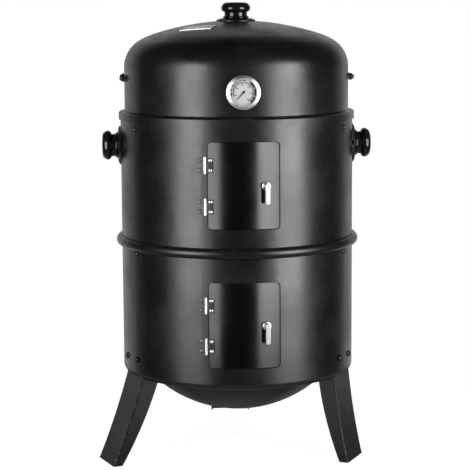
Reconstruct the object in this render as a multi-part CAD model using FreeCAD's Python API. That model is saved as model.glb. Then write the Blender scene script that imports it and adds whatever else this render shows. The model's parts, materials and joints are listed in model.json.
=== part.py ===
import FreeCAD, Part

import math
import os

from FreeCAD import Vector

os.makedirs("parts", exist_ok=True)

# Vertical water smoker, in millimetres.  +Z is up, Z = 0 is the ground under the feet, and the
# barrels' common axis is the Z axis.  The doors and the thermometer face -Y, the front.

# ---- driving dimensions -------------------------------------------------------------------
BARREL_R = 200.0  # outside radius of both barrels
SHEET = 1.5  # barrel, lid and bowl sheet
LOOSE = 0.3  # gap between pieces that lift or swing apart
RUN = 0.05  # radial clearance of a pin or shaft that turns
AROUND = (-62.0, 61.5, 180.0)  # where the grate brackets sit, measured round from the front

BARREL_BOTTOM = 145.5
BOTTOM_CORNER_R = 10.0
LIP_R = 172.0  # the turned-in lip that carries the base bowl
LOWER_TOP = 381.0
BEAD_R = 209.3  # swelling at the foot of the upper barrel
BEAD_TOP = 383.0
BEAD_MID = 372.5
BEAD_FOOT = 365.5
SLEEVE_R = BARREL_R + LOOSE  # inside of the bead's free edge, around the lower barrel
UPPER_TOP = 593.0

LID_R = 192.6
LID_SHOULDER = 670.2  # where the lid's straight wall starts to turn in
LID_ARCS = ((52.8, 29.6), (128.4, 17.86))  # radius of each turn, and the slope where it ends
SKIRT_R = 203.0
SKIRT_TOP = 597.4
SKIRT_FOOT = 582.4

DOOR_W = 119.0
DOOR_H = 143.5
DOOR_T = 1.2
DOOR_LAP = 5.5  # how far the door covers the barrel around the opening
DOOR_CORNER = 7.0
DOOR_IN_R = BARREL_R + LOOSE
DOOR_OUT_R = DOOR_IN_R + DOOR_T
LOWER_DOOR_Z = 254.1
UPPER_DOOR_Z = 485.4

HINGE_ANGLE = -18.2  # pin position, measured round the barrel from the front
HINGE_R = 202.7
HINGE_SPREAD = 34.0  # hinge centres above and below the middle of the door
KNUCKLE_R = 2.25
KNUCKLE_H = 25.0
KNUCKLE_MID = 9.0  # the door leaf's knuckle, between the barrel leaf's two
PIN_R = 1.2
LEAF_T = 0.8
LEAF_H = 24.0
LEAF_NEAR = 2.7  # arc distance from the pin to a leaf's near and far edges
LEAF_FAR = 13.2
RIVET_OUT = 8.8
RIVET_UP = 8.2
RIVET_HEAD_R = 3.2
RIVET_HEAD_H = 2.0
RIVET_SHANK_R = 1.4

LATCH_ANGLE = 10.5
LATCH_SHAFT_R = 3.0
ROSETTE_R = 7.6
ROSETTE_T = 2.2
LEVER_L = 30.0
LEVER_W = 7.6
CAM_IN_R = 194.5
CAM_OUT_R = 196.3
CAM_L = 26.0
CAM_W = 13.0

LEG_W = 72.0
LEG_T = 2.0
LEG_EDGE_R = 2.2  # rounding between the web and its flanges
LEG_FACE = 194.9  # distance of the leg's flat web from the axis, inside the barrel
LEG_TOP = 196.0
LEG_BEND_Z = 147.0
LEG_CURVE_R = 1150.0
LEG_SPLAY = {"leg_front_left": 16.6, "leg_front_right": 6.0, "leg_rear": 24.0}
LEG_ANGLES = (-68.5, 63.0, 180.0)  # where the legs stand, measured round from the front
LEG_TAB_DEPTH = 8.0
LEG_TOP_DEPTH = 29.5
LEG_FOOT_DEPTH = 14.8
FOOT_TRIM = 6.0  # length left below the ground before the foot is cut level
LEG_BOLT_Z = 178.0
LEG_BOLT_X = 21.0

BASE_BOWL_R = 215.0
BASE_BOWL_BOTTOM = 72.8
BASE_BOWL_RIM_R = 184.0
WATER_BOWL_RIM_R = 173.0
WATER_BOWL_BOTTOM = 264.0

BRACKET_W = 24.0
BRACKET_T = 1.8
LOWER_SCREW_Z = 360.6
LOWER_SHELF_TOP = 380.0
WATER_SHELF_TOP = 364.0
STEP_IN = 176.0  # the lower bracket's step, between the grate's shelf and the bowl's
WATER_SHELF_IN = 162.5
STEP_TAB = 32.0
UPPER_SCREW_Z = 571.0
UPPER_SHELF_TOP = 580.0
UPPER_SHELF_IN = 172.0
UPPER_TAB = 24.0

GRATE_R = 177.5  # centre line of a food grate's rim wire
GRATE_RIM_WIRE = 3.0
GRATE_WIRE = 2.0
CHARCOAL_GRATE_R = 177.0

KNOB_L = 32.4
KNOB_PLATE_R = 33.5
KNOB_STUD_R = 3.0
LID_KNOB_Z = 747.6  # plane of the knob plate's rim
HANDLE_Z = 537.0

BAR_Y = 30.0  # two bars for hanging food, this far each side of the middle
BAR_Z = 653.0
BAR_R = 4.0
BAR_END_R = 3.0

DIAL_Z = 637.0
CASE_R = 28.0
CASE_BACK = 193.4  # distance of the thermometer's back from the axis
CASE_DEPTH = 8.2
DIAL_R = 22.0
NEEDLE_REST = 42.0  # angle of the cold needle from straight down, towards the left

PLATE_ANGLE = -44.0
PLATE_DIST = 97.0
PLATE_TURN = -25.0
PLATE_L = 56.0
PLATE_W = 26.0

UP = Vector(0, 0, 1)
ORIGIN = Vector(0, 0, 0)


# ---- helpers ------------------------------------------------------------------------------
def save(name, *solids):
    shape = solids[0] if len(solids) == 1 else Part.makeCompound(list(solids))
    shape.exportStep("parts/" + name + ".step")


def spin(shape, angle):
    """Carries a shape made at the front round the Z axis, counter-clockwise from above."""
    turned = shape.copy()
    turned.rotate(ORIGIN, UP, angle)
    return turned


def lift(shape, height):
    raised = shape.copy()
    raised.translate(Vector(0, 0, height))
    return raised


def wire(start, steps, point):
    """A closed outline: each step is an end point, or (through, end) for an arc."""
    edges = []
    here = start
    for step in list(steps) + [start]:
        if isinstance(step[0], tuple):
            arc = Part.Arc(point(here), point(step[0]), point(step[1]))
            edges.append(arc.toShape())
            here = step[1]
        elif step != here:
            edges.append(Part.makeLine(point(here), point(step)))
            here = step
    return Part.Wire(edges)


def revolved(start, *steps):
    """A solid turned round Z from an outline of (radius, height)."""
    outline = wire(start, steps, lambda p: Vector(p[0], 0, p[1]))
    return Part.Face(outline).revolve(ORIGIN, UP, 360)


def front_prism(start, *steps, near=150.0, far=250.0):
    """An outline of (x, z), extruded along Y through the front wall."""
    outline = wire(start, steps, lambda p: Vector(p[0], -far, p[1]))
    return Part.Face(outline).extrude(Vector(0, far - near, 0))


def side_prism(width, start, *steps):
    """An outline of (distance out from the axis, height), extruded across the front."""
    outline = wire(start, steps, lambda p: Vector(-width / 2, -p[0], p[1]))
    return Part.Face(outline).extrude(Vector(width, 0, 0))


def rounded_box(width, height, corner, z_mid, near=150.0, far=250.0):
    """A rounded rectangle extruded through the front wall."""
    x = width / 2
    z0 = z_mid - height / 2
    z1 = z_mid + height / 2
    c = corner
    k = c * (1 - math.sqrt(0.5))
    return front_prism(
        (-x + c, z0),
        (x - c, z0),
        ((x - k, z0 + k), (x, z0 + c)),
        (x, z1 - c),
        ((x - k, z1 - k), (x - c, z1)),
        (-x + c, z1),
        ((-x + k, z1 - k), (-x, z1 - c)),
        (-x, z0 + c),
        ((-x + k, z0 + k), (-x + c, z0)),
        near=near,
        far=far,
    )


def cap(r_edge, z_edge, z_top):
    """The last arc of an outline: a spherical cap that ends on the axis."""
    rise = z_top - z_edge
    ball = (r_edge**2 + rise**2) / (2 * rise)
    half = math.asin(r_edge / ball) / 2
    return (ball * math.sin(half), z_top - ball * (1 - math.cos(half))), (0, z_top)


def tube(r_in, r_out, z0, z1):
    ring = Part.makeCylinder(r_out, z1 - z0, Vector(0, 0, z0))
    return ring.cut(Part.makeCylinder(r_in, z1 - z0, Vector(0, 0, z0)))


def sector(r_in, r_out, z0, z1, angle0, angle1):
    """Part of a tube, between two angles from the front."""
    face = Part.Face(
        wire(
            (r_in, z0),
            ((r_out, z0), (r_out, z1), (r_in, z1)),
            lambda p: Vector(0, -p[0], p[1]),
        )
    )
    return spin(face.revolve(ORIGIN, UP, angle1 - angle0), angle0)


def radial_rod(radius, r_in, r_out, z, x=0.0):
    """A round rod pointing at the viewer, from r_in to r_out from the axis."""
    return Part.makeCylinder(radius, r_out - r_in, Vector(x, -r_in, z), Vector(0, -1, 0))


def radial_turned(r_base, z, start, *steps, x=0.0):
    """A solid turned round an outward axis, from an outline of (radius, distance out)."""
    solid = revolved(start, *steps)
    solid.rotate(ORIGIN, Vector(1, 0, 0), 90)
    solid.translate(Vector(x, -r_base, z))
    return solid


def hex_prism(across_flats, height, bore):
    r = across_flats / math.sqrt(3)
    corners = [Vector(r * math.cos(a), r * math.sin(a), 0) for a in
               [math.radians(60 * i) for i in range(7)]]
    solid = Part.Face(Part.makePolygon(corners)).extrude(Vector(0, 0, height))
    return solid.cut(Part.makeCylinder(bore, height))


def radial_nut(across_flats, height, bore, r_inner, z, x=0.0):
    solid = hex_prism(across_flats, height, bore)
    solid.rotate(ORIGIN, Vector(1, 0, 0), 90)
    solid.translate(Vector(x, -r_inner, z))
    return solid


def domed_screw(z, r_base, shank_r, r_end, head_r, head_h, x=0.0):
    """A pan-headed screw whose head sits at r_base and whose shank ends at r_end."""
    head = radial_turned(
        r_base, z,
        (0, 0), (head_r, 0), (head_r, 0.25 * head_h), cap(head_r, 0.25 * head_h, head_h),
        x=x,
    )
    return head.fuse(radial_rod(shank_r, r_end, r_base, z, x))


# ---- barrels, lid and base bowl -----------------------------------------------------------
def leg_slots():
    """Cuts in the barrel's bottom edge that let the legs' webs and flanges through."""
    face = LEG_FACE + 0.8
    low = BARREL_BOTTOM - 2
    high = BARREL_BOTTOM + BOTTOM_CORNER_R + 2
    inner = LIP_R - 5
    slot = side_prism(LEG_W + 2, (inner, low), (face, low), (face, high), (inner, high))
    return [spin(slot, angle) for angle in LEG_ANGLES]


def lower_barrel():
    r = BARREL_R
    c = BOTTOM_CORNER_R
    z = BARREL_BOTTOM
    k = c * (1 - math.sqrt(0.5))
    ki = k + SHEET * math.sqrt(0.5)
    body = revolved(
        (r, LOWER_TOP),
        (r, z + c),
        ((r - k, z + k), (r - c, z)),
        (LIP_R, z),
        (LIP_R, z + SHEET),
        (r - c, z + SHEET),
        ((r - ki, z + ki), (r - SHEET, z + c)),
        (r - SHEET, LOWER_TOP),
    )
    holes = [rounded_box(DOOR_W - 2 * DOOR_LAP, DOOR_H - 2 * DOOR_LAP, DOOR_CORNER, LOWER_DOOR_Z)]
    holes += leg_slots()
    for angle in AROUND:
        holes.append(spin(radial_rod(2.5, 180, 210, LOWER_SCREW_Z), angle))
    for angle in LEG_ANGLES:
        for x in (-LEG_BOLT_X, LEG_BOLT_X):
            holes.append(spin(radial_rod(3.1, 180, 210, LEG_BOLT_Z, x), angle))
    holes += barrel_rivet_holes(LOWER_DOOR_Z)
    return body.cut(holes)


def upper_barrel():
    r = BARREL_R
    t = SHEET
    body = revolved(
        (r, UPPER_TOP),
        (r, BEAD_TOP),
        ((BEAD_R, BEAD_MID), (SLEEVE_R + t, BEAD_FOOT)),
        (SLEEVE_R, BEAD_FOOT),
        ((BEAD_R - t, BEAD_MID), (r - t, BEAD_TOP)),
        (r - t, UPPER_TOP),
    )
    holes = [rounded_box(DOOR_W - 2 * DOOR_LAP, DOOR_H - 2 * DOOR_LAP, DOOR_CORNER, UPPER_DOOR_Z)]
    for angle in AROUND:
        holes.append(spin(radial_rod(2.5, 180, 210, UPPER_SCREW_Z), angle))
    for angle in (-90, 90):
        holes.append(spin(radial_rod(KNOB_STUD_R + 0.1, 180, 210, HANDLE_Z), angle))
    holes += barrel_rivet_holes(UPPER_DOOR_Z)
    return body.cut(holes)


def lid_outline(inset):
    """The dome from its wall up to the crown, as a start and arcs, set in by the sheet."""
    r = LID_R
    z = LID_SHOULDER
    slope = 90.0
    start = (r - inset, z)
    steps = []
    for radius, end_slope in LID_ARCS:
        points = []
        for s in ((slope + end_slope) / 2, end_slope):
            a = math.radians(s)
            b = math.radians(slope)
            out = r + radius * (math.sin(a) - math.sin(b))
            high = z + radius * (math.cos(a) - math.cos(b))
            points.append((out, high, a))
        steps.append(tuple((p[0] - inset * math.sin(p[2]), p[1] - inset * math.cos(p[2]))
                           for p in points))
        r, z, slope = points[1][0], points[1][1], end_slope
    crown = r / math.sin(math.radians(slope))
    centre = z - crown * math.cos(math.radians(slope))
    half = math.radians(slope / 2)
    inner = crown - inset
    steps.append(((inner * math.sin(half), centre + inner * math.cos(half)), (0.0, centre + inner)))
    return start, steps, crown, centre


def backwards(start, steps):
    """The same open outline, walked from its end to its start."""
    ends = [start] + [s[1] for s in steps]
    return ends[-1], [(steps[i][0], ends[i]) for i in reversed(range(len(steps)))]


def lid_shell():
    start, steps, _, _ = lid_outline(0.0)
    inner_start, inner_steps = backwards(*lid_outline(SHEET)[:2])
    t = SHEET
    body = revolved(
        inner_start,
        *inner_steps,
        (LID_R - t, SKIRT_TOP - 1.3),
        (SKIRT_R - t - 1.0, SKIRT_TOP - 4.0),
        (SKIRT_R - t, SKIRT_TOP - 5.4),
        (SKIRT_R - t, SKIRT_FOOT),
        (SKIRT_R, SKIRT_FOOT),
        (SKIRT_R, SKIRT_TOP - 4.6),
        ((SKIRT_R - 0.7, SKIRT_TOP - 3.1), (SKIRT_R - 2.2, SKIRT_TOP - 2.3)),
        (LID_R, SKIRT_TOP),
        start,
        *steps,
    )
    holes = [Part.makeCylinder(KNOB_STUD_R + 0.1, 40, Vector(0, 0, LID_KNOB_Z - 16))]
    holes.append(radial_rod(4.1, 180, 210, DIAL_Z))
    for y in (-BAR_Y, BAR_Y):
        holes.append(Part.makeCylinder(BAR_END_R + 0.1, 420, Vector(-210, y, BAR_Z),
                                       Vector(1, 0, 0)))
    return body.cut(holes)


def sphere_point(radius, centre_z, z):
    return math.sqrt(radius**2 - (centre_z - z) ** 2)


def base_bowl():
    centre = BASE_BOWL_BOTTOM + BASE_BOWL_R
    rim_z = BARREL_BOTTOM + SHEET
    inner = BASE_BOWL_R - SHEET
    mid = BASE_BOWL_BOTTOM + 25
    return revolved(
        (0, BASE_BOWL_BOTTOM),
        ((sphere_point(BASE_BOWL_R, centre, mid), mid), (sphere_point(BASE_BOWL_R, centre, rim_z), rim_z)),
        (BASE_BOWL_RIM_R, rim_z),
        (BASE_BOWL_RIM_R, rim_z + SHEET),
        (sphere_point(inner, centre, rim_z + SHEET), rim_z + SHEET),
        ((sphere_point(inner, centre, mid + SHEET), mid + SHEET), (0, BASE_BOWL_BOTTOM + SHEET)),
    )


def water_bowl():
    rim_z = WATER_SHELF_TOP + LOOSE
    bottom = WATER_BOWL_BOTTOM
    t = SHEET
    return revolved(
        (0, bottom),
        (118, bottom),
        ((142, bottom + 9), (153, bottom + 34)),
        (160, rim_z),
        (WATER_BOWL_RIM_R, rim_z),
        (WATER_BOWL_RIM_R, rim_z + t),
        (158.5, rim_z + t),
        (151.5, bottom + 34),
        ((141, bottom + 10.4), (118, bottom + t)),
        (0, bottom + t),
    )


# ---- legs ---------------------------------------------------------------------------------
def leg_path(splay, inset):
    """The leg's web line inset from its outer face: (bend, mid and foot) points."""
    turn = LEG_CURVE_R + inset
    a0 = math.radians(splay)
    x0 = LEG_FACE - inset * math.cos(a0)
    z0 = LEG_BEND_Z - inset * math.sin(a0)
    centre_x = x0 + turn * math.cos(a0)
    centre_z = z0 + turn * math.sin(a0)
    a1 = math.asin((centre_z + FOOT_TRIM) / turn)
    points = []
    for a in ((a0 + a1) / 2, a1):
        points.append((centre_x - turn * math.cos(a), centre_z - turn * math.sin(a)))
    return (x0, z0), points[0], points[1]


def leg(splay, angle):
    """A pressed channel: flat web outwards, flanges inwards, foot cut level with the ground."""
    bend, mid, foot = leg_path(splay, 0.0)
    w_bend, w_mid, w_foot = leg_path(splay, LEG_T)
    foot_in = foot[0] - LEG_FOOT_DEPTH
    mid_in = mid[0] - (LEG_TOP_DEPTH + LEG_FOOT_DEPTH) / 2 - 3.0
    top_in = LEG_FACE - LEG_TOP_DEPTH
    lip = BARREL_BOTTOM - 1.0
    block = side_prism(
        LEG_W,
        (LEG_FACE, LEG_TOP),
        bend,
        (mid, foot),
        (foot_in, foot[1]),
        ((mid_in, mid[1]), (top_in, lip)),
        (LEG_FACE - LEG_TAB_DEPTH, lip),
        (LEG_FACE - LEG_TAB_DEPTH, LEG_TOP),
    )
    outer_edges = [e for e in block.Edges if on_web_corner(e, bend, mid, foot)]
    block = block.makeFillet(LEG_EDGE_R, outer_edges)
    hollow = side_prism(
        LEG_W - 2 * LEG_T,
        (LEG_FACE - LEG_T, LEG_TOP + 5),
        w_bend,
        (w_mid, w_foot),
        (100, w_foot[1]),
        (100, LEG_TOP + 5),
    )
    ground = Part.makeBox(200, 400, 50, Vector(-100, -400, -50))
    holes = [radial_rod(3.1, 180, 210, LEG_BOLT_Z, x) for x in (-LEG_BOLT_X, LEG_BOLT_X)]
    return spin(block.cut([hollow, ground] + holes), angle)


def on_web_corner(edge, bend, mid, foot):
    """True for the two long bent edges where the web meets the flanges."""
    p = edge.valueAt((edge.FirstParameter + edge.LastParameter) / 2)
    if abs(abs(p.x) - LEG_W / 2) > 0.01 or edge.Length < 20:
        return False
    path = Part.Arc(Vector(0, -bend[0], bend[1]), Vector(0, -mid[0], mid[1]),
                    Vector(0, -foot[0], foot[1])).toShape()
    tab = Part.makeLine(Vector(0, -LEG_FACE, LEG_TOP), Vector(0, -bend[0], bend[1]))
    probe = Part.Vertex(Vector(0, p.y, p.z))
    return min(path.distToShape(probe)[0], tab.distToShape(probe)[0]) < 0.01


def leg_fasteners():
    bolts = []
    nuts = []
    for angle in LEG_ANGLES:
        for x in (-LEG_BOLT_X, LEG_BOLT_X):
            bolt = domed_screw(LEG_BOLT_Z, 199.6, 3.0, 188.4, 5.6, 3.2, x)
            bolts.append(spin(bolt, angle))
            nut = radial_nut(10.0, 4.2, 3.02, LEG_FACE - LEG_T - 4.25, LEG_BOLT_Z, x)
            nuts.append(spin(nut, angle))
    return bolts, nuts


# ---- grate brackets -----------------------------------------------------------------------
def bracket_set(profile, screw_z):
    """Three brackets of one profile, with their screws and nuts."""
    back = BARREL_R - SHEET - 0.5
    bracket = side_prism(BRACKET_W, *profile(back))
    bracket = bracket.cut(radial_rod(2.5, 180, 210, screw_z))
    screw = domed_screw(screw_z, BARREL_R + 0.05, 2.4, back - BRACKET_T - 4.6, 4.3, 2.6)
    nut = radial_nut(8.0, 3.6, 2.42, back - BRACKET_T - 3.65, screw_z)
    return [[spin(s, angle) for angle in AROUND] for s in (bracket, screw, nut)]


def stepped_profile(back):
    """Upper shelf for the lower grate, then a step down to the shelf for the water bowl."""
    t = BRACKET_T
    hi = LOWER_SHELF_TOP
    lo = WATER_SHELF_TOP
    return (
        (back, hi - STEP_TAB), (back, hi), (STEP_IN, hi), (STEP_IN, lo), (WATER_SHELF_IN, lo),
        (WATER_SHELF_IN, lo - t), (STEP_IN + t, lo - t), (STEP_IN + t, hi - t),
        (back - t, hi - t), (back - t, hi - STEP_TAB),
    )


def shelf_profile(back):
    """One shelf for the upper grate."""
    t = BRACKET_T
    hi = UPPER_SHELF_TOP
    low = hi - UPPER_TAB
    inner = UPPER_SHELF_IN
    return (back, low), (back, hi), (inner, hi), (inner, hi - t), (back - t, hi - t), (back - t, low)


# ---- doors, hinges and latches ------------------------------------------------------------
def arc_angle(distance, radius=BARREL_R):
    return math.degrees(distance / radius)


def hinge_heights(door_z):
    return door_z - HINGE_SPREAD, door_z + HINGE_SPREAD


def rivet_places(door_z, side):
    """(angle, height) of the four rivets on one side of the pins: -1 barrel, +1 door."""
    angle = HINGE_ANGLE + side * arc_angle(RIVET_OUT)
    return [(angle, z + up) for z in hinge_heights(door_z) for up in (-RIVET_UP, RIVET_UP)]


def barrel_rivet_holes(door_z):
    return [spin(radial_rod(RIVET_SHANK_R + 0.05, 190, 210, z), angle)
            for angle, z in rivet_places(door_z, -1)]


def hinge_leaf(side, r_in, door_z):
    """A leaf with its knuckles, once for each hinge: -1 is fixed to the barrel, +1 to the door."""
    leaves = []
    for z in hinge_heights(door_z):
        near = arc_angle(LEAF_NEAR)
        far = arc_angle(LEAF_FAR)
        low, high = sorted((side * near, side * far))
        leaf = sector(r_in, r_in + LEAF_T, z - LEAF_H / 2, z + LEAF_H / 2, low, high)
        half = KNUCKLE_MID / 2
        if side > 0:
            spans = [(z - half, z + half)]
        else:
            spans = [(z - KNUCKLE_H / 2, z - half - LOOSE), (z + half + LOOSE, z + KNUCKLE_H / 2)]
        for z0, z1 in spans:
            barrel = Part.makeCylinder(KNUCKLE_R, z1 - z0, Vector(0, -HINGE_R, z0))
            t0 = max(z0, z - LEAF_H / 2)
            t1 = min(z1, z + LEAF_H / 2)
            low, high = sorted((0.0, side * (near + 0.05)))
            tongue = sector(r_in, r_in + LEAF_T, t0, t1, low, high)
            leaf = leaf.fuse(barrel).fuse(tongue)
        bore_foot = Vector(0, -HINGE_R, z - KNUCKLE_H / 2 - 1)
        bore = Part.makeCylinder(PIN_R + RUN, KNUCKLE_H + 2, bore_foot)
        leaf = spin(leaf.cut(bore).removeSplitter(), HINGE_ANGLE)
        for angle, rivet_z in rivet_places(door_z, side):
            leaf = leaf.cut(spin(radial_rod(RIVET_SHANK_R + 0.05, 190, 210, rivet_z), angle))
        leaves.append(leaf)
    return leaves


def hinge_pins(door_z):
    pins = []
    for z in hinge_heights(door_z):
        low = z - KNUCKLE_H / 2
        pin = revolved(
            (0, low - 1.3), (1.9, low - 1.3), (1.9, low - 0.3), (PIN_R, low - 0.3),
            (PIN_R, low + KNUCKLE_H + 0.3), (1.9, low + KNUCKLE_H + 0.3),
            (1.9, low + KNUCKLE_H + 1.3), (0, low + KNUCKLE_H + 1.3),
        )
        pin.translate(Vector(0, -HINGE_R, 0))
        pins.append(spin(pin, HINGE_ANGLE))
    return pins


def rivets(door_z, side, r_face, r_end):
    rivet = domed_screw(0, r_face, RIVET_SHANK_R, r_end, RIVET_HEAD_R, RIVET_HEAD_H)
    if side < 0:
        rivet = rivet.fuse(radial_rod(2.6, r_end - 1.0, r_end, 0))
    return [spin(lift(rivet, z), angle) for angle, z in rivet_places(door_z, side)]


def door(door_z):
    plate = tube(DOOR_IN_R, DOOR_OUT_R, door_z - DOOR_H / 2, door_z + DOOR_H / 2)
    plate = plate.common(rounded_box(DOOR_W, DOOR_H, DOOR_CORNER, door_z))
    holes = [spin(radial_rod(LATCH_SHAFT_R + RUN, 190, 210, door_z), LATCH_ANGLE)]
    for angle, z in rivet_places(door_z, 1):
        holes.append(spin(radial_rod(RIVET_SHANK_R + 0.05, 190, 210, z), angle))
    return plate.cut(holes)


def rosette(door_z):
    t = ROSETTE_T
    bore = LATCH_SHAFT_R + RUN
    ring = radial_turned(
        DOOR_OUT_R + 0.05, door_z,
        (bore, 0), (ROSETTE_R, 0), (ROSETTE_R, 0.6),
        ((ROSETTE_R - 1.6, t - 0.3), (bore + 1.8, t)), (bore, t),
    )
    return spin(ring, LATCH_ANGLE)


def bar_outline(width, length, above):
    """A flat bar hanging from its pivot, rounded at both ends: outline of (x, z)."""
    w = width / 2
    return (
        (-w, above - w), ((0, above), (w, above - w)),
        (w, w - length), ((0, -length), (-w, w - length)),
    )


def latch(door_z):
    """Lever, shaft, cam and nut; both lever and cam hang down while the door is free to open."""
    hub_in = DOOR_OUT_R + ROSETTE_T + 0.4
    blade_in = hub_in + 4.6
    blade_out = blade_in + 2.4
    seat = CAM_OUT_R
    hub = radial_rod(5.2, hub_in, blade_out, 0)
    blade = front_prism(*bar_outline(LEVER_W, LEVER_L, LEVER_W / 2), near=blade_in, far=blade_out)
    lever = hub.fuse(blade).removeSplitter()
    rim = [e for e in lever.Edges if abs(e.CenterOfMass.y + blade_out) < 0.01]
    lever = lever.makeFillet(0.8, rim)
    lever = lever.cut(radial_rod(LATCH_SHAFT_R, hub_in, blade_in + 1.0, 0))
    shaft = radial_rod(LATCH_SHAFT_R, CAM_IN_R - 5.0, blade_in + 1.0, 0)
    shaft = shaft.fuse(radial_rod(4.6, seat, DOOR_IN_R - LOOSE, 0)).removeSplitter()
    cam = front_prism(*bar_outline(CAM_W, CAM_L, CAM_W / 2), near=CAM_IN_R, far=seat)
    cam = cam.cut(radial_rod(LATCH_SHAFT_R, 190, 200, 0))
    nut = radial_nut(9.0, 4.0, LATCH_SHAFT_R, CAM_IN_R - 4.0, 0)
    return [spin(lift(s, door_z), LATCH_ANGLE) for s in (lever, shaft, cam, nut)]


def save_door(prefix, door_z):
    save(prefix + "_door", door(door_z))
    save(prefix + "_hinge_barrel_leaves", *hinge_leaf(-1, BARREL_R + 0.05, door_z))
    save(prefix + "_hinge_door_leaves", *hinge_leaf(1, DOOR_OUT_R + 0.05, door_z))
    save(prefix + "_hinge_pins", *hinge_pins(door_z))
    leaf_face = BARREL_R + 0.05 + LEAF_T
    save(prefix + "_hinge_barrel_rivets", *rivets(door_z, -1, leaf_face, BARREL_R - SHEET - 0.06))
    leaf_face = DOOR_OUT_R + 0.05 + LEAF_T
    save(prefix + "_hinge_door_rivets", *rivets(door_z, 1, leaf_face, DOOR_IN_R + 0.05))
    save(prefix + "_latch_rosette", rosette(door_z))
    names = ("_latch_lever", "_latch_shaft", "_latch_cam", "_latch_nut")
    for name, solid in zip(names, latch(door_z)):
        save(prefix + name, solid)


# ---- knobs --------------------------------------------------------------------------------
def knob():
    """Moulded grip: base ring, neck and rounded cap, standing on Z = 0 of its plate."""
    top = KNOB_L
    body = revolved(
        (0, 5.2), (20.6, 5.2), ((22.2, 7.0), (20.6, 8.8)), (19.4, 9.4), (19.4, 13.8),
        ((19.9, 15.6), (21.6, 16.5)), ((25.2, 21.3), (24.2, 25.8)),
        ((20.6, 30.4), (14.0, top - 0.7)), cap(14.0, top - 0.7, top),
    )
    return body.cut(Part.makeCylinder(KNOB_STUD_R, 18, Vector(0, 0, 5)))


def knob_plate():
    """Dished plate between a knob and the sheet metal, which keeps fingers off the hot wall."""
    r = KNOB_PLATE_R
    bore = KNOB_STUD_R + 0.1
    return revolved(
        (r, 0.3), (r, 1.9), ((28.2, 4.4), (21.0, 5.15)), (bore, 5.15), (bore, 3.5),
        (20.5, 3.5), ((27.4, 2.7), (32.0, 0.3)),
    )


def knob_stud(below):
    return Part.makeCylinder(KNOB_STUD_R, 23 + below, Vector(0, 0, -below))


def on_side(solid, angle):
    """Turns a knob piece from the Z axis to an outward axis on the upper barrel."""
    placed = solid.copy()
    placed.rotate(ORIGIN, Vector(1, 0, 0), 90)
    placed.translate(Vector(0, -BARREL_R, HANDLE_Z))
    return spin(placed, angle)


def save_knobs():
    save("lid_knob", lift(knob(), LID_KNOB_Z))
    save("lid_knob_plate", lift(knob_plate(), LID_KNOB_Z))
    save("lid_knob_stud", lift(knob_stud(8.0), LID_KNOB_Z))
    _, _, crown, centre = lid_outline(SHEET)
    crown_inside = centre + crown - SHEET
    save("lid_knob_nut", lift(hex_prism(10.0, 5.0, KNOB_STUD_R), crown_inside - 5.1))
    save("left_handle_knob", on_side(knob(), -90))
    save("right_handle_knob", on_side(knob(), 90))
    sides = (-90, 90)
    save("handle_plates", *[on_side(knob_plate(), a) for a in sides])
    save("handle_studs", *[on_side(knob_stud(8.6), a) for a in sides])
    nut = lift(hex_prism(10.0, 5.0, KNOB_STUD_R), -SHEET - 5.2)
    save("handle_nuts", *[on_side(nut, a) for a in sides])


# ---- inside the lid -----------------------------------------------------------------------
def hanger_bars():
    """Round bars with reduced ends, so that the cap nuts clamp the lid against a shoulder."""
    shoulder = math.sqrt((LID_R - SHEET) ** 2 - (BAR_Y + BAR_R) ** 2) - 0.2
    bars = []
    for y in (-BAR_Y, BAR_Y):
        bar = Part.makeCylinder(BAR_R, 2 * shoulder, Vector(-shoulder, y, BAR_Z), Vector(1, 0, 0))
        end = Part.makeCylinder(BAR_END_R, 394, Vector(-197, y, BAR_Z), Vector(1, 0, 0))
        bars.append(bar.fuse(end))
    return bars


def cap_nuts():
    """Acorn nuts on the bar ends, outside the lid."""
    seat = math.sqrt(LID_R**2 - (BAR_Y - 5.8) ** 2) + 0.1
    flats = hex_prism(10.0, 5.0, BAR_END_R)
    dome = revolved(
        (BAR_END_R, 5.0), (4.7, 5.0), cap(4.7, 5.0, 9.4), (0, 7.5), (BAR_END_R, 7.5),
    )
    nut = flats.fuse(dome).removeSplitter()
    nut.rotate(ORIGIN, Vector(0, 1, 0), 90)
    nuts = []
    for y in (-BAR_Y, BAR_Y):
        right = nut.copy()
        right.translate(Vector(seat, y, BAR_Z))
        nuts += [right, right.mirror(ORIGIN, Vector(1, 0, 0))]
    return nuts


def blank_plate():
    """A thin blank plate that follows the crown of the lid."""
    _, _, crown, centre = lid_outline(0.0)
    box = Part.makeBox(PLATE_L, PLATE_W, 60, Vector(-PLATE_L / 2, -PLATE_W / 2, LID_KNOB_Z - 36))
    box.rotate(ORIGIN, UP, PLATE_TURN)
    a = math.radians(PLATE_ANGLE)
    box.translate(Vector(PLATE_DIST * math.sin(a), -PLATE_DIST * math.cos(a), 0))
    shell = Part.makeSphere(crown + 0.6, Vector(0, 0, centre))
    shell = shell.cut(Part.makeSphere(crown + 0.05, Vector(0, 0, centre)))
    return box.common(shell)


# ---- thermometer --------------------------------------------------------------------------
def thermometer_case():
    d = CASE_DEPTH
    return radial_turned(
        CASE_BACK, DIAL_Z,
        (4.1, 0), (CASE_R - 2, 0), (CASE_R, 1.6), (CASE_R, d - 3.2),
        ((CASE_R - 0.4, d - 2.5), (CASE_R - 1.2, d - 2.1)),
        ((CASE_R - 3.1, d - 0.9), (DIAL_R + 0.8, d)), (DIAL_R + 0.6, d - 0.4),
        (DIAL_R - 0.4, d - 2.4), (DIAL_R + 0.4, d - 2.4), (DIAL_R + 0.4, 1.6), (4.1, 1.6),
    )


def thermometer_dial():
    return radial_turned(CASE_BACK, DIAL_Z, (1.0, 2.0), (DIAL_R, 2.0), (DIAL_R, 2.8), (1.0, 2.8))


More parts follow.
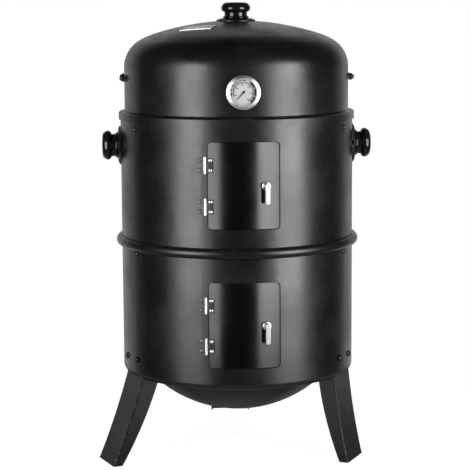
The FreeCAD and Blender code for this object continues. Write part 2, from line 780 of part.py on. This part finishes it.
def thermometer_glass():
    d = CASE_DEPTH
    return radial_turned(CASE_BACK, DIAL_Z, (0, d - 3.5), (DIAL_R + 0.2, d - 3.5),
                         (DIAL_R + 0.2, d - 2.45), (0, d - 2.45))


def thermometer_stem():
    """Threaded bush through the lid, with the thin probe that reaches the smoke."""
    stem = radial_rod(4.0, CASE_BACK - 9, CASE_BACK + 1.5, DIAL_Z)
    stem = stem.fuse(radial_rod(2.6, CASE_BACK - 55, CASE_BACK - 9, DIAL_Z))
    stem = stem.fuse(radial_rod(6.5, CASE_BACK + 1.65, CASE_BACK + 1.95, DIAL_Z))
    stem = stem.fuse(radial_rod(3.9, CASE_BACK + 1.4, CASE_BACK + 1.8, DIAL_Z))
    return stem.cut(radial_rod(0.75, CASE_BACK - 6, CASE_BACK + 3, DIAL_Z)).removeSplitter()


def thermometer_nut():
    return radial_nut(13.0, 4.0, 4.02, LID_R - SHEET - 4.3, DIAL_Z)


def thermometer_needle():
    """Pointer and its spindle; at rest it points to the cold end, down and to the left."""
    front = CASE_BACK + 3.3
    blade = front_prism((-0.9, -3.5), (0.9, -3.5), (0.35, 15.5), (-0.35, 15.5),
                        near=front, far=front + 0.5)
    hub = radial_rod(1.9, front, front + 0.9, 0)
    needle = blade.fuse(hub).fuse(radial_rod(0.7, CASE_BACK - 5, front, 0)).removeSplitter()
    needle.rotate(ORIGIN, Vector(0, -1, 0), 180 - NEEDLE_REST)
    needle.translate(Vector(0, 0, DIAL_Z))
    return needle


# ---- grates -------------------------------------------------------------------------------
def grate(rim_r, rest_z, pitch, wire_r):
    """Welded wire grate: a rim, parallel wires, and two stiffeners under them."""
    z = rest_z + GRATE_RIM_WIRE
    rim = Part.makeTorus(rim_r, GRATE_RIM_WIRE, Vector(0, 0, z))
    wires = []
    count = int(rim_r / pitch)
    for i in range(-count, count + 1):
        x = i * pitch
        half = math.sqrt(rim_r**2 - x**2)
        if half > 25:
            wires.append(Part.makeCylinder(wire_r, 2 * half, Vector(x, -half, z + 1.3), Vector(0, 1, 0)))
    for y in (-rim_r / 2.6, rim_r / 2.6):
        half = math.sqrt(rim_r**2 - y**2)
        wires.append(Part.makeCylinder(2.0, 2 * half, Vector(-half, y, z - 0.8), Vector(1, 0, 0)))
    return rim.multiFuse(wires)


# ---- the assembly -------------------------------------------------------------------------
save("lower_barrel", lower_barrel())
save("base_bowl", base_bowl())
for (leg_name, splay), leg_angle in zip(LEG_SPLAY.items(), LEG_ANGLES):
    save(leg_name, leg(splay, leg_angle))
leg_bolts, leg_nuts = leg_fasteners()
save("leg_bolts", *leg_bolts)
save("leg_nuts", *leg_nuts)
for prefix, profile, screw_z in (
    ("lower", stepped_profile, LOWER_SCREW_Z),
    ("upper", shelf_profile, UPPER_SCREW_Z),
):
    brackets, screws, nuts = bracket_set(profile, screw_z)
    save(prefix + "_brackets", *brackets)
    save(prefix + "_bracket_screws", *screws)
    save(prefix + "_bracket_nuts", *nuts)
save_door("lower", LOWER_DOOR_Z)
save_door("upper", UPPER_DOOR_Z)
save("upper_barrel", upper_barrel())
save_knobs()
save("lid_shell", lid_shell())
save("hanger_bars", *hanger_bars())
save("hanger_cap_nuts", *cap_nuts())
save("blank_plate", blank_plate())
save("thermometer_case", thermometer_case())
save("thermometer_dial", thermometer_dial())
save("thermometer_glass", thermometer_glass())
save("thermometer_stem", thermometer_stem())
save("thermometer_nut", thermometer_nut())
save("thermometer_needle", thermometer_needle())
save("water_bowl", water_bowl())
save("lower_grate", grate(GRATE_R, LOWER_SHELF_TOP + LOOSE, 18.0, GRATE_WIRE))
save("upper_grate", grate(GRATE_R, UPPER_SHELF_TOP + LOOSE, 18.0, GRATE_WIRE))
charcoal_rest = BARREL_BOTTOM + 2 * SHEET + LOOSE
save("charcoal_grate", grate(CHARCOAL_GRATE_R, charcoal_rest, 15.0, 2.5))
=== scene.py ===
import json
import math

import bmesh
import bpy
from mathutils import Matrix, Vector


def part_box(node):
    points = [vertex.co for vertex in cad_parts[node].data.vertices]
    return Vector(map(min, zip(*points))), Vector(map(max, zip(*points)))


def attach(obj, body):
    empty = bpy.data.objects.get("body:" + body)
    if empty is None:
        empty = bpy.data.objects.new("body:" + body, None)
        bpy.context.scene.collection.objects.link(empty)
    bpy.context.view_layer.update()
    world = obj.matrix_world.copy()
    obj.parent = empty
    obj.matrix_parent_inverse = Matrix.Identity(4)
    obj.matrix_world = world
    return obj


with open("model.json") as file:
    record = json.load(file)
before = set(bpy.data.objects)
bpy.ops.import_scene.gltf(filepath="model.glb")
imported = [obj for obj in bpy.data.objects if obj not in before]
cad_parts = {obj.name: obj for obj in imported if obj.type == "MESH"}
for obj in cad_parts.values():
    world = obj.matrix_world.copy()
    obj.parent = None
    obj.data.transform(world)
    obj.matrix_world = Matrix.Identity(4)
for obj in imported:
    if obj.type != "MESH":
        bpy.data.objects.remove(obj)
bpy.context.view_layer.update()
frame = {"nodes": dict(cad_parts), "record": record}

NODES = frame["nodes"]
MM = 0.001


def middle_of(node):
    """The middle of a CAD node's box at rest."""
    low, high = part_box(node)
    return (low + high) / 2


# ---- camera, stage and light ----------------------------------------------------------------
CAMERA_AZIMUTH = math.radians(-3.3)
CAMERA_DISTANCE = 2.9375
CAMERA_HEIGHT = 0.8019
CAMERA_SIDE = -0.00368  # sideways offset from the line through the object's axis
CAMERA_PITCH = math.radians(8.23)
CAMERA_ROLL = math.radians(-0.36)
CAMERA_LENS = 130.2
SENSOR = 36.0

SOFT_BOX_DISTANCE = 1.7
SOFT_BOX_CENTRE_Z = 0.60
SOFT_BOX_TALL = 1.40

# The studio turns from dark to white where a direction's y, less STUDIO_RISE of its z, passes
# from STUDIO_EDGE_START to STUDIO_EDGE_END. y points away from the front.
STUDIO_EDGE_START = 0.45
STUDIO_EDGE_END = 0.80
STUDIO_RISE = 0.30
STUDIO_FRONT_STRENGTH = 0.010
STUDIO_BACK_STRENGTH = 0.70

FLOOR_RADIUS = 0.62
FLOOR_EDGE_POINTS = 96
FLOOR_COLOUR = (0.3, 0.3, 0.3)
FLOOR_GLOW_SEEN = 0.93  # emission that the camera sees, near to the background's white
FLOOR_GLOW_CAST = 0.06  # emission that lights the smoker from below


def make_camera():
    out = Vector((math.sin(CAMERA_AZIMUTH), -math.cos(CAMERA_AZIMUTH), 0))
    right = Vector((math.cos(CAMERA_AZIMUTH), math.sin(CAMERA_AZIMUTH), 0))
    forward = -out * math.cos(CAMERA_PITCH) - Vector((0, 0, 1)) * math.sin(CAMERA_PITCH)
    up = right.cross(forward)
    rolled = right * math.cos(CAMERA_ROLL) + up * math.sin(CAMERA_ROLL)
    upright = up * math.cos(CAMERA_ROLL) - right * math.sin(CAMERA_ROLL)
    place = out * CAMERA_DISTANCE + right * CAMERA_SIDE + Vector((0, 0, CAMERA_HEIGHT))
    camera = bpy.data.objects.new("camera", bpy.data.cameras.new("camera"))
    camera.data.lens = CAMERA_LENS
    camera.data.sensor_width = SENSOR
    camera.data.clip_start = 0.05
    camera.matrix_world = Matrix.Translation(place) @ Matrix(
        (rolled, upright, -forward)).transposed().to_4x4()
    bpy.context.scene.collection.objects.link(camera)
    bpy.context.scene.camera = camera


def soft_box(name, azimuth, width, watts):
    """A tall area light that faces the object's axis; azimuth 0 is the front, 90 the right side."""
    data = bpy.data.lights.new(name, "AREA")
    data.shape = "RECTANGLE"
    data.size = width
    data.size_y = SOFT_BOX_TALL
    data.energy = watts
    light = bpy.data.objects.new(name, data)
    a = math.radians(azimuth)
    out = Vector((math.sin(a), -math.cos(a), 0))
    light.location = out * SOFT_BOX_DISTANCE + Vector((0, 0, SOFT_BOX_CENTRE_Z))
    light.rotation_mode = "QUATERNION"
    light.rotation_quaternion = (-out).to_track_quat("-Z", "Y")
    bpy.context.scene.collection.objects.link(light)


def make_lights():
    soft_box("soft_box_left", azimuth=-47, width=0.86, watts=28.5)
    soft_box("soft_box_right", azimuth=46.5, width=0.88, watts=39)


def make_world():
    """A studio that is dark in front and white behind; the camera itself sees plain white."""
    world = bpy.data.worlds.new("studio")
    world.use_nodes = True
    tree = world.node_tree
    tree.nodes.clear()
    direction = tree.nodes.new("ShaderNodeTexCoord")
    apart = tree.nodes.new("ShaderNodeSeparateXYZ")
    behind = tree.nodes.new("ShaderNodeMapRange")
    behind.interpolation_type = "SMOOTHSTEP"
    behind.inputs["From Min"].default_value = STUDIO_EDGE_START
    behind.inputs["From Max"].default_value = STUDIO_EDGE_END
    behind.inputs["To Min"].default_value = STUDIO_FRONT_STRENGTH
    behind.inputs["To Max"].default_value = STUDIO_BACK_STRENGTH
    surroundings = tree.nodes.new("ShaderNodeBackground")
    seen = tree.nodes.new("ShaderNodeBackground")
    for background in (surroundings, seen):
        background.inputs["Color"].default_value = (1, 1, 1, 1)
    path = tree.nodes.new("ShaderNodeLightPath")
    mix = tree.nodes.new("ShaderNodeMixShader")
    out = tree.nodes.new("ShaderNodeOutputWorld")
    tree.links.new(direction.outputs["Generated"], apart.inputs[0])
    depth = tree.nodes.new("ShaderNodeMath")
    depth.operation = "MULTIPLY_ADD"
    depth.inputs[1].default_value = -STUDIO_RISE
    tree.links.new(apart.outputs["Z"], depth.inputs[0])
    tree.links.new(apart.outputs["Y"], depth.inputs[2])
    tree.links.new(depth.outputs[0], behind.inputs["Value"])
    tree.links.new(behind.outputs["Result"], surroundings.inputs["Strength"])
    tree.links.new(path.outputs["Is Camera Ray"], mix.inputs["Fac"])
    tree.links.new(surroundings.outputs[0], mix.inputs[1])
    tree.links.new(seen.outputs[0], mix.inputs[2])
    tree.links.new(mix.outputs[0], out.inputs[0])
    bpy.context.scene.world = world


def make_floor():
    """A round pale floor that fades into the background."""
    material = bpy.data.materials.new("floor")
    material.use_nodes = True
    shader = material.node_tree.nodes["Principled BSDF"]
    shader.inputs["Base Color"].default_value = (*FLOOR_COLOUR, 1)
    shader.inputs["Roughness"].default_value = 0.9
    shader.inputs["Specular IOR Level"].default_value = 0.0
    shader.inputs["Emission Color"].default_value = (1, 1, 1, 1)
    path = material.node_tree.nodes.new("ShaderNodeLightPath")
    glow = material.node_tree.nodes.new("ShaderNodeMapRange")
    glow.inputs["To Min"].default_value = FLOOR_GLOW_CAST
    glow.inputs["To Max"].default_value = FLOOR_GLOW_SEEN
    material.node_tree.links.new(path.outputs["Is Camera Ray"], glow.inputs["Value"])
    material.node_tree.links.new(glow.outputs["Result"], shader.inputs["Emission Strength"])
    turns = [2 * math.pi * i / FLOOR_EDGE_POINTS for i in range(FLOOR_EDGE_POINTS)]
    rim = [(FLOOR_RADIUS * math.cos(a), FLOOR_RADIUS * math.sin(a), 0) for a in turns]
    mesh = bpy.data.meshes.new("floor")
    mesh.from_pydata(rim, [], [tuple(range(FLOOR_EDGE_POINTS))])
    mesh.materials.append(material)
    floor = bpy.data.objects.new("floor", mesh)
    bpy.context.scene.collection.objects.link(floor)


# ---- materials ------------------------------------------------------------------------------
DOOR_BEND_RADIUS = 0.104  # how round the doors look in their reflections, against the barrel's 0.2
DOOR_BEND_CENTRE = -0.011  # where across the door that bend is centred
DOOR_BEND_REACH = 0.052  # how far to the right of its centre that bend goes on
DOOR_CORNER = 0.007  # radius of the door's corners
DOOR_RIM = 0.0018  # width of the rounded rim
DOOR_RIM_SLOPE = 0.45  # how steep the rim gets at the door's edge
KNUCKLE_BARE_R = 2.5 * MM  # the hinges' leaves are bare metal within this distance of the pin


class Surface:
    """A procedural Principled material, built up from noise in the object's own coordinates."""

    def __init__(self, name, colour, roughness, metallic=0.0, ior=1.45):
        self.material = bpy.data.materials.new(name)
        self.material.use_nodes = True
        self.tree = self.material.node_tree
        self.shader = self.tree.nodes["Principled BSDF"]
        self.shader.inputs["Metallic"].default_value = metallic
        self.shader.inputs["IOR"].default_value = ior
        self.colour = (*colour, 1)
        self.roughness = roughness
        self.place = self.node("ShaderNodeTexCoord").outputs["Object"]
        self.height = None

    def node(self, kind, **inputs):
        """A new shader node, with its inputs set or linked by name."""
        made = self.tree.nodes.new(kind)
        for key, value in inputs.items():
            self.plug(made, key.replace("_", " "), value)
        return made

    def plug(self, node, key, value):
        socket = node.inputs[key]
        if isinstance(value, bpy.types.NodeSocket):
            self.tree.links.new(value, socket)
        else:
            socket.default_value = value

    def stretched(self, scale):
        return self.node("ShaderNodeMapping", Vector=self.place, Scale=scale).outputs["Vector"]

    def noise(self, size_mm, detail=4.0, stretch=(1, 1, 1), roughness=0.55):
        """Noise whose features are about size_mm wide, from 0 to 1."""
        made = self.node("ShaderNodeTexNoise", Vector=self.stretched(stretch),
                         Scale=1.0 / (size_mm * MM), Detail=detail, Roughness=roughness)
        return made.outputs["Fac"]

    def ramp(self, factor, low, high, to_low=0.0, to_high=1.0):
        """A smooth step from to_low to to_high while the factor goes from low to high."""
        made = self.node("ShaderNodeMapRange", Value=factor, From_Min=low, From_Max=high,
                         To_Min=to_low, To_Max=to_high)
        made.interpolation_type = "SMOOTHSTEP"
        return made.outputs["Result"]

    def both_ways(self, noise):
        """The same noise spread from -1 to 1."""
        return self.ramp(noise, 0.3, 0.7, -1.0, 1.0)

    def maths(self, operation, a, b=0.0):
        made = self.node("ShaderNodeMath")
        made.operation = operation
        self.plug(made, 0, a)
        self.plug(made, 1, b)
        return made.outputs[0]

    def mix_colour(self, factor, colour):
        """Lays another colour over the one so far, by the factor."""
        made = self.node("ShaderNodeMix")
        made.data_type = "RGBA"
        self.plug(made, 0, factor)
        self.plug(made, 6, self.colour)
        self.plug(made, 7, (*colour, 1))
        self.colour = made.outputs[2]

    def add_roughness(self, factor, amount):
        swing = self.maths("MULTIPLY", factor, amount)
        self.roughness = self.maths("ADD", self.roughness, swing)

    def add_height(self, factor, tall_mm):
        """Relief for the bump, whose height is in metres like everything else."""
        part = self.maths("MULTIPLY", factor, tall_mm * MM)
        self.height = part if self.height is None else self.maths("ADD", self.height, part)

    def axis(self, letter):
        """One of the object's own coordinates, in metres."""
        return self.node("ShaderNodeSeparateXYZ", Vector=self.place).outputs[letter]

    def away_from(self, centre, letters):
        """Distance from a line through the centre, square to the two axes named."""
        squares = []
        for letter in letters:
            off = self.maths("SUBTRACT", self.axis(letter), getattr(centre, letter.lower()))
            squares.append(self.maths("MULTIPLY", off, off))
        return self.maths("SQRT", self.maths("ADD", *squares))

    def up_facing(self):
        normal = self.node("ShaderNodeNewGeometry").outputs["Normal"]
        return self.node("ShaderNodeSeparateXYZ", Vector=normal).outputs["Z"]

    def dust(self, amount, colour=(0.16, 0.15, 0.14)):
        """Fine dust that has settled on what faces up."""
        upward = self.ramp(self.up_facing(), 0.25, 1.0)
        settled = self.maths("MULTIPLY", upward, self.ramp(self.noise(9), 0.3, 0.8))
        factor = self.maths("MULTIPLY", settled, amount)
        self.mix_colour(factor, colour)
        self.add_roughness(settled, 0.10)

    def scuffs(self, amount):
        """Sparse upright hairline scuffs, in patches, that catch the light."""
        lines = self.ramp(self.noise(2.5, 6.0, (1, 1, 0.18), 0.7), 0.66, 0.72)
        patch = self.ramp(self.noise(75, 2.0), 0.52, 0.66)
        self.add_roughness(self.maths("MULTIPLY", lines, patch), amount)

    def done(self):
        """Plugs what was built up into the shader."""
        self.plug(self.shader, "Base Color", self.colour)
        clamped = self.node("ShaderNodeClamp", Value=self.roughness, Min=0.03, Max=0.95)
        self.plug(self.shader, "Roughness", clamped.outputs[0])
        if self.height is not None:
            bump = self.node("ShaderNodeBump", Height=self.height, Strength=1.0, Distance=1.0)
            self.plug(self.shader, "Normal", bump.outputs[0])
        return self.material


def paint(name, colour, roughness, peel, dust=0.10, blotch=0.05, ior=1.5):
    """Baked black paint: orange peel, cloudy gloss, a few hairline scuffs and some dust."""
    s = Surface(name, colour, roughness, ior=ior)
    cloud = s.noise(70, 3.0)
    s.mix_colour(s.ramp(cloud, 0.35, 0.7, 0.0, 0.35), tuple(c * 1.5 for c in colour))
    s.add_roughness(s.both_ways(cloud), blotch)
    s.add_roughness(s.both_ways(s.noise(5, 3.0)), blotch * 0.4)
    s.scuffs(0.006)
    s.dust(dust)
    s.add_height(s.noise(2.2, 2.0), peel)
    s.add_height(s.noise(0.45, 2.0), peel * 0.35)
    return s


def body_paint():
    return paint("body_paint", (0.0034, 0.0034, 0.0037), 0.33, 0.022, dust=0.04).done()


def door_paint(node):
    """Glossier than the barrel, with a rounded rim.

    The pressed door is bent rounder than the barrel, so it mirrors more of the room.
    """
    s = paint(node + "_paint", (0.0012, 0.0012, 0.0013), 0.235, 0.012, dust=0.04, blotch=0.03, ior=1.43)
    low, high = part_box("lower_barrel")
    barrel_radius = (high.x - low.x) / 2
    x = s.axis("X")
    across = s.maths("SUBTRACT", x, DOOR_BEND_CENTRE)
    rounder = (1 / barrel_radius - 1 / DOOR_BEND_RADIUS) / 2
    bent = s.maths("MINIMUM", across, DOOR_BEND_REACH)
    straight_on = s.maths("SUBTRACT", s.maths("MULTIPLY", across, 2.0), bent)
    s.add_height(s.maths("MULTIPLY", bent, straight_on), rounder / MM)
    low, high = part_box(node)
    middle = middle_of(node)
    beyond = []
    half_width, half_height = (high.x - low.x) / 2, (high.z - low.z) / 2
    for place, centre, half in ((x, middle.x, half_width), (s.axis("Z"), middle.z, half_height)):
        off = s.maths("ABSOLUTE", s.maths("SUBTRACT", place, centre))
        beyond.append(s.maths("MAXIMUM", s.maths("SUBTRACT", off, half - DOOR_CORNER), 0.0))
    reach = s.maths("SQRT", s.maths("ADD", *[s.maths("MULTIPLY", b, b) for b in beyond]))
    rim = s.maths("MAXIMUM", s.maths("SUBTRACT", reach, DOOR_CORNER - DOOR_RIM), 0.0)
    s.add_height(s.maths("MULTIPLY", rim, rim), -DOOR_RIM_SLOPE / (2 * DOOR_RIM) / MM)
    return s.done()


def leg_paint():
    return paint("leg_paint", (0.0014, 0.0014, 0.0015), 0.36, 0.03, dust=0.02, ior=1.38).done()


def bowl_enamel():
    return paint("bowl_enamel", (0.0016, 0.0016, 0.0017), 0.24, 0.02, dust=0.03, ior=1.40).done()


def hinge_metal():
    """Black leaves whose rolled knuckles are bare metal round the pin."""
    s = Surface("hinge_metal", (0.006, 0.006, 0.0065), 0.34, ior=1.5)
    away = s.away_from(middle_of("upper_hinge_pins"), "XY")
    ragged = s.ramp(s.noise(1.5, 3.0), 0.3, 0.7, -0.25 * MM, 0.25 * MM)
    fade = 0.2 * MM
    bare = s.ramp(s.maths("ADD", away, ragged), KNUCKLE_BARE_R - fade, KNUCKLE_BARE_R + fade, 1.0, 0.0)
    s.mix_colour(bare, (0.72, 0.72, 0.71))
    s.plug(s.shader, "Metallic", bare)
    s.add_roughness(s.both_ways(s.noise(3, 4.0)), 0.06)
    s.add_height(s.noise(0.8, 3.0, (1, 1, 0.2)), 0.03)
    return s.done()


def metal(name, colour, roughness, stretch, grain_mm, grain, swing=0.07, tint=(0.66, 0.66, 0.64)):
    """Bare or plated metal with drawn or brushed grain and a cloudy bloom."""
    s = Surface(name, colour, roughness, metallic=1.0)
    s.mix_colour(s.ramp(s.noise(6, 4.0), 0.4, 0.75, 0.0, 0.5), tint)
    s.add_roughness(s.both_ways(s.noise(4, 4.0)), swing)
    s.add_roughness(s.both_ways(s.noise(grain_mm, 4.0, stretch)), swing * 0.7)
    s.add_height(s.noise(grain_mm, 4.0, stretch), grain)
    return s.done()


def zinc():
    return metal("zinc", (0.60, 0.60, 0.59), 0.38, (1, 1, 0.15), 0.7, 0.012, swing=0.04)


def plated_wire():
    return metal("plated_wire", (0.70, 0.70, 0.71), 0.26, (1, 0.2, 1), 1.0, 0.02)


def blank_plate_metal():
    return metal("blank_plate_metal", (0.62, 0.62, 0.63), 0.36, (0.1, 1, 1), 0.6, 0.015)


def painted_rivet():
    """The rivets on the barrel, dulled by the paint that was sprayed over them."""
    return metal("painted_rivet", (0.20, 0.20, 0.20), 0.45, (1, 1, 1), 0.6, 0.02, tint=(0.3, 0.3, 0.3))


def stainless():
    """The bezel: turned on a lathe, so its grain runs round the thermometer's own axis."""
    s = Surface("stainless", (0.86, 0.86, 0.86), 0.36, metallic=1.0)
    away = s.away_from(middle_of("thermometer_case"), "XZ")
    rings = s.node("ShaderNodeTexNoise", Scale=1.0 / (0.35 * MM), Detail=3.0)
    rings.noise_dimensions = "1D"
    s.plug(rings, "W", away)
    s.add_height(rings.outputs["Fac"], 0.008)
    s.add_roughness(s.both_ways(rings.outputs["Fac"]), 0.04)
    s.add_roughness(s.ramp(s.noise(5), 0.35, 0.75), 0.06)
    return s.done()


def black_hardware():
    """Blackened steel screws, nuts and brackets, polished a little where tools have rubbed."""
    s = Surface("black_hardware", (0.006, 0.006, 0.0065), 0.38, ior=1.5)
    s.mix_colour(s.ramp(s.noise(1.6, 4.0), 0.58, 0.75, 0.0, 0.5), (0.03, 0.03, 0.031))
    s.add_roughness(s.both_ways(s.noise(1.2, 4.0)), 0.08)
    s.add_height(s.noise(0.7, 3.0), 0.03)
    return s.done()


def knob_plastic():
    """Glossy moulded phenolic, with a faint flow pattern and fine handling marks."""
    s = Surface("knob_plastic", (0.007, 0.007, 0.0075), 0.13, ior=1.52)
    s.add_roughness(s.ramp(s.noise(14, 3.0), 0.35, 0.7), 0.07)
    s.add_roughness(s.ramp(s.noise(0.9, 5.0, (1, 1, 0.2)), 0.62, 0.7), 0.10)
    s.add_height(s.noise(6, 2.0), 0.03)
    s.dust(0.05)
    return s.done()


def dial_face():
    """White enamel, slightly clouded."""
    s = Surface("dial_face", (0.72, 0.715, 0.71), 0.42)
    s.mix_colour(s.ramp(s.noise(5), 0.35, 0.8, 0.0, 0.4), (0.62, 0.62, 0.62))
    s.add_roughness(s.both_ways(s.noise(2)), 0.05)
    s.add_height(s.noise(0.3, 2.0), 0.01)
    return s.done()


def ink(name, colour):
    """Screen-printed ink, slightly uneven."""
    s = Surface(name, colour, 0.5)
    s.mix_colour(s.ramp(s.noise(0.8), 0.4, 0.8, 0.0, 0.5), tuple(c * 1.8 for c in colour))
    s.add_roughness(s.both_ways(s.noise(1.0)), 0.06)
    return s.done()


def needle_paint():
    return ink("needle_paint", (0.010, 0.008, 0.008))


def dial_glass():
    """Clear glass, smeared a little; its dark base keeps the dial's contrast."""
    s = Surface("dial_glass", (0.01, 0.01, 0.01), 0.04, ior=1.5)
    s.add_roughness(s.ramp(s.noise(7), 0.5, 0.8), 0.08)
    s.shader.inputs["Alpha"].default_value = 0.12
    return s.done()


def paint_nodes():
    """Gives each CAD node the finish that is named for its slot in the record."""
    finishes = {}
    for maker in (body_paint, hinge_metal, leg_paint, bowl_enamel, black_hardware,
                  knob_plastic, zinc, plated_wire, stainless, dial_face, needle_paint,
                  dial_glass, blank_plate_metal):
        finishes[maker.__name__] = maker()
    dulled = painted_rivet()
    for part in frame["record"]["subparts"]:
        if part["material_slot"] == "door_paint":
            material = door_paint(part["node"])
        elif part["node"].endswith("hinge_barrel_rivets"):
            material = dulled
        else:
            material = finishes[part["material_slot"]]
        mesh = NODES[part["node"]].data
        if not mesh.materials:
            mesh.materials.append(material)
        for i in range(len(mesh.materials)):
            mesh.materials[i] = material


# ---- the printing on the dial ---------------------------------------------------------------
PRINT_THICK = 0.10 * MM
PRINT_GAP = 0.01 * MM  # keeps the ink's back clear of the dial
SCALE_START = -110.0  # degrees clockwise from the top of the dial
SCALE_END = 147.0
SCALE_R = 16.2 * MM
SCALE_HALF_LINE = 0.55 * MM
SCALE_STEPS = 25
STEPS_PER_NUMBER = 5
LONG_TICK = (2.4 * MM, 1.7)  # how far in it reaches, and its half width in degrees
SHORT_TICK = (1.5 * MM, 0.9)
ARC_STEP = 3.0  # degrees between an arc's corners
HOT_ZONE_R = (18.0 * MM, 20.9 * MM)
HOT_ZONE_STARTS = (34.0, 72.0, 110.0)
HOT_ZONE_SPAN = 33.0
MILD_ZONE_R = (18.6 * MM, 20.3 * MM)
MILD_ZONE_STARTS = range(-104, 0, 20)
MILD_ZONE_SPAN = 15.0
NUMBER_R = 12.4 * MM
NUMBER_H = 3.3 * MM
NUMBERS = ("50", "100", "150", "200", "250", "300")


def dial_point(radius, clockwise, lift):
    """A point on the dial, at a lift in front of its face."""
    centre = middle_of("thermometer_dial")
    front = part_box("thermometer_dial")[0].y
    a = math.radians(clockwise)
    return (centre.x + radius * math.sin(a), front - lift, centre.z + radius * math.cos(a))


def ring_sector(verts, faces, inner, outer, start, end):
    """Adds a flat closed sector of a ring, PRINT_THICK thick."""
    steps = max(1, round(abs(end - start) / ARC_STEP))
    first = len(verts)
    for i in range(steps + 1):
        angle = start + (end - start) * i / steps
        for radius in (inner, outer):
            for lift in (PRINT_GAP, PRINT_GAP + PRINT_THICK):
                verts.append(dial_point(radius, angle, lift))
    for i in range(steps):
        a = first + 4 * i
        b = a + 4
        faces += [(a + 1, a + 3, b + 3, b + 1), (a, b, b + 2, a + 2),
                  (a, a + 1, b + 1, b), (a + 2, b + 2, b + 3, a + 3)]
    last = first + 4 * steps
    faces += [(first, first + 2, first + 3, first + 1), (last, last + 1, last + 3, last + 2)]


def put_on_dial(mesh, material):
    """Makes the mesh a piece of its own, under the mesh's name, that rides on the lid."""
    mesh.materials.clear()
    mesh.materials.append(material)
    piece = bpy.data.objects.new(mesh.name, mesh)
    bpy.context.scene.collection.objects.link(piece)
    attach(piece, "lid")


def printed(name, sectors, material):
    verts, faces = [], []
    for sector in sectors:
        ring_sector(verts, faces, *sector)
    mesh = bpy.data.meshes.new(name)
    mesh.from_pydata(verts, [], faces)
    mesh.update()
    put_on_dial(mesh, material)


def scale_angle(share):
    """Degrees clockwise from the top, for a share of the scale's length."""
    return SCALE_START + (SCALE_END - SCALE_START) * share


def number_mesh(text, share):
    """One of the scale's numbers as a thin closed mesh, standing upright in its place."""
    curve = bpy.data.curves.new("number", "FONT")
    curve.body = text
    curve.size = NUMBER_H
    curve.align_x = "CENTER"
    curve.align_y = "CENTER"
    curve.extrude = PRINT_THICK / 2
    curve.resolution_u = 4
    label = bpy.data.objects.new("number", curve)
    bpy.context.scene.collection.objects.link(label)
    bpy.context.view_layer.update()
    evaluated = label.evaluated_get(bpy.context.evaluated_depsgraph_get())
    mesh = bpy.data.meshes.new_from_object(evaluated)
    place = dial_point(NUMBER_R, scale_angle(share), PRINT_GAP + PRINT_THICK / 2)
    mesh.transform(Matrix.Translation(place) @ Matrix.Rotation(math.radians(90), 4, "X"))
    bpy.data.objects.remove(label)
    return mesh


def print_numbers(material):
    """All the numbers, joined into one piece."""
    joined = bmesh.new()
    for i, text in enumerate(NUMBERS):
        mesh = number_mesh(text, i / (len(NUMBERS) - 1))
        joined.from_mesh(mesh)
        bpy.data.meshes.remove(mesh)
    mesh = bpy.data.meshes.new("dial_numbers")
    joined.to_mesh(mesh)
    joined.free()
    put_on_dial(mesh, material)


def zone(radii, starts, span):
    return [(*radii, start, start + span) for start in starts]


def scale_ticks():
    ticks = []
    for i in range(SCALE_STEPS + 1):
        angle = scale_angle(i / SCALE_STEPS)
        reach, half = SHORT_TICK if i % STEPS_PER_NUMBER else LONG_TICK
        ticks.append((SCALE_R - reach, SCALE_R - SCALE_HALF_LINE, angle - half, angle + half))
    return ticks


def print_dial():
    black = ink("dial_ink", (0.012, 0.012, 0.012))
    dark = ink("zone_ink_hot", (0.020, 0.018, 0.018))
    grey = ink("zone_ink_mild", (0.085, 0.085, 0.085))
    line = (SCALE_R - SCALE_HALF_LINE, SCALE_R + SCALE_HALF_LINE, SCALE_START, SCALE_END)
    printed("dial_scale", [line], black)
    printed("dial_ticks", scale_ticks(), black)
    printed("dial_zone_hot", zone(HOT_ZONE_R, HOT_ZONE_STARTS, HOT_ZONE_SPAN), dark)
    printed("dial_zone_mild", zone(MILD_ZONE_R, MILD_ZONE_STARTS, MILD_ZONE_SPAN), grey)
    print_numbers(black)


paint_nodes()
print_dial()
make_camera()
make_world()
make_lights()
make_floor()

bpy.context.scene.view_settings.view_transform = "Standard"
bpy.context.view_layer.update()
